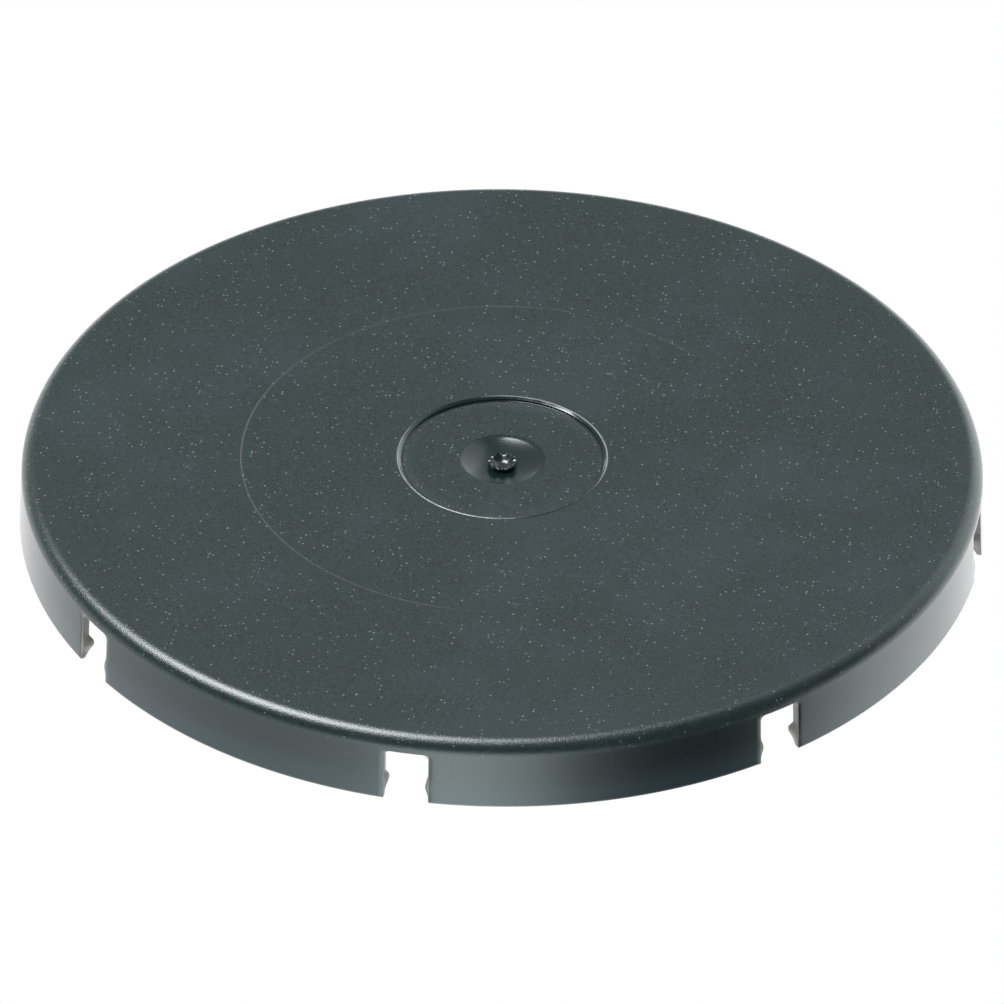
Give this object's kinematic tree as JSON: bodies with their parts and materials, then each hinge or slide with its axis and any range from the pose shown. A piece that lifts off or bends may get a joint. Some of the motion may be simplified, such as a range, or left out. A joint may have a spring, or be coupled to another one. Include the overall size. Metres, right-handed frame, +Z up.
{
  "type": "desk grommet cap",
  "caption": "Round clip-on cap that closes a desk grommet: a shallow plate with a rounded edge and a thin slotted skirt, whose inner bead clips under the grommet's flange.",
  "frame": {"origin": "on the cap's axis, in the plane of the finger tips on which it stands", "axes": "+Z up along the axis, out of the top face; -Y through the middle of one slot"},
  "size_m": [0.074, 0.074, 0.0055],
  "materials": {
    "moulded_plastic": "fine spark-eroded matt on the face and rounded edge, smooth semi-gloss on the skirt"
  },
  "bodies": {
    "root": {"snap_cap": "moulded_plastic"}
  },
  "joints": []
}
